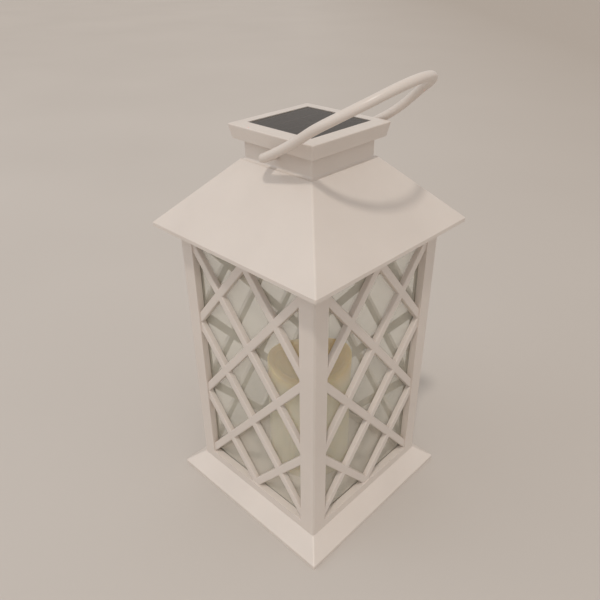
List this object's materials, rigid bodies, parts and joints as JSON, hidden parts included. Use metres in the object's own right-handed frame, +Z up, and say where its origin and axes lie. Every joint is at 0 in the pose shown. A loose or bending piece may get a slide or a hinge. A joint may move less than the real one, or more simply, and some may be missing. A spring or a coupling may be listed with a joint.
{
  "type": "solar lantern",
  "caption": "Square plastic lantern with lattice windows over clear panes, a hip roof with a solar unit on its neck, a swinging bail and an electric candle.",
  "frame": {"origin": "centre of the flat underside of the base", "axes": "+Z up through the roof; +X towards the side the bail leans to; +Y along the bail's hinge"},
  "size_m": [0.1438, 0.14, 0.3059],
  "materials": {
    "housing": "satin",
    "roof_plastic": "satin",
    "cap_plastic": "satin",
    "bail_plastic": "satin",
    "inner_plastic": "matt",
    "clear_sheet": "polished",
    "panel_glaze": "polished",
    "silicon": "satin",
    "substrate": "matt",
    "foam_tape": "matt",
    "wax": "satin",
    "steel": "satin",
    "spring_steel": "bright",
    "cell_jacket": "gloss",
    "circuit": "gloss",
    "chips": "matt",
    "led_epoxy": "polished",
    "black_plastic": "matt"
  },
  "bodies": {
    "lantern": {"base_cover": "inner_plastic", "base_plinth": "housing", "battery": "cell_jacket", "battery_door": "inner_plastic", "battery_holder": "inner_plastic", "board_parts": "chips", "candle_shell": "wax", "cap_frame": "cap_plastic", "cap_screws": "steel", "ceiling_plate": "inner_plastic", "ceiling_screws": "steel", "contact_plate": "spring_steel", "contact_spring": "spring_steel", "control_board": "circuit", "cover_screws": "steel", "door_contact": "spring_steel", "door_screw": "steel", "holder_screws": "steel", "led": "led_epoxy", "led_post": "inner_plastic", "pane_front": "clear_sheet", "pane_left": "clear_sheet", "pane_rear": "clear_sheet", "pane_right": "clear_sheet", "panel_tape": "foam_tape", "roof": "roof_plastic", "side_panel_front": "housing", "side_panel_left": "housing", "side_panel_rear": "housing", "side_panel_right": "housing", "solar_cells": "silicon", "solar_glaze": "panel_glaze", "solar_substrate": "substrate", "switch_body": "black_plastic"},
    "bail": {"bail": "bail_plastic"},
    "switch_knob": {"switch_knob": "black_plastic"}
  },
  "joints": [
    {"name": "bail_swing", "type": "hinge", "parent": "lantern", "child": "bail", "pos_m": [0, 0, 0.258], "axis": [0, 1, 0], "range_deg": [-169, 49]},
    {"name": "switch_slide", "type": "slide", "parent": "lantern", "child": "switch_knob", "axis": [1, 0, 0], "range_m": [0, 0.0025]}
  ]
}
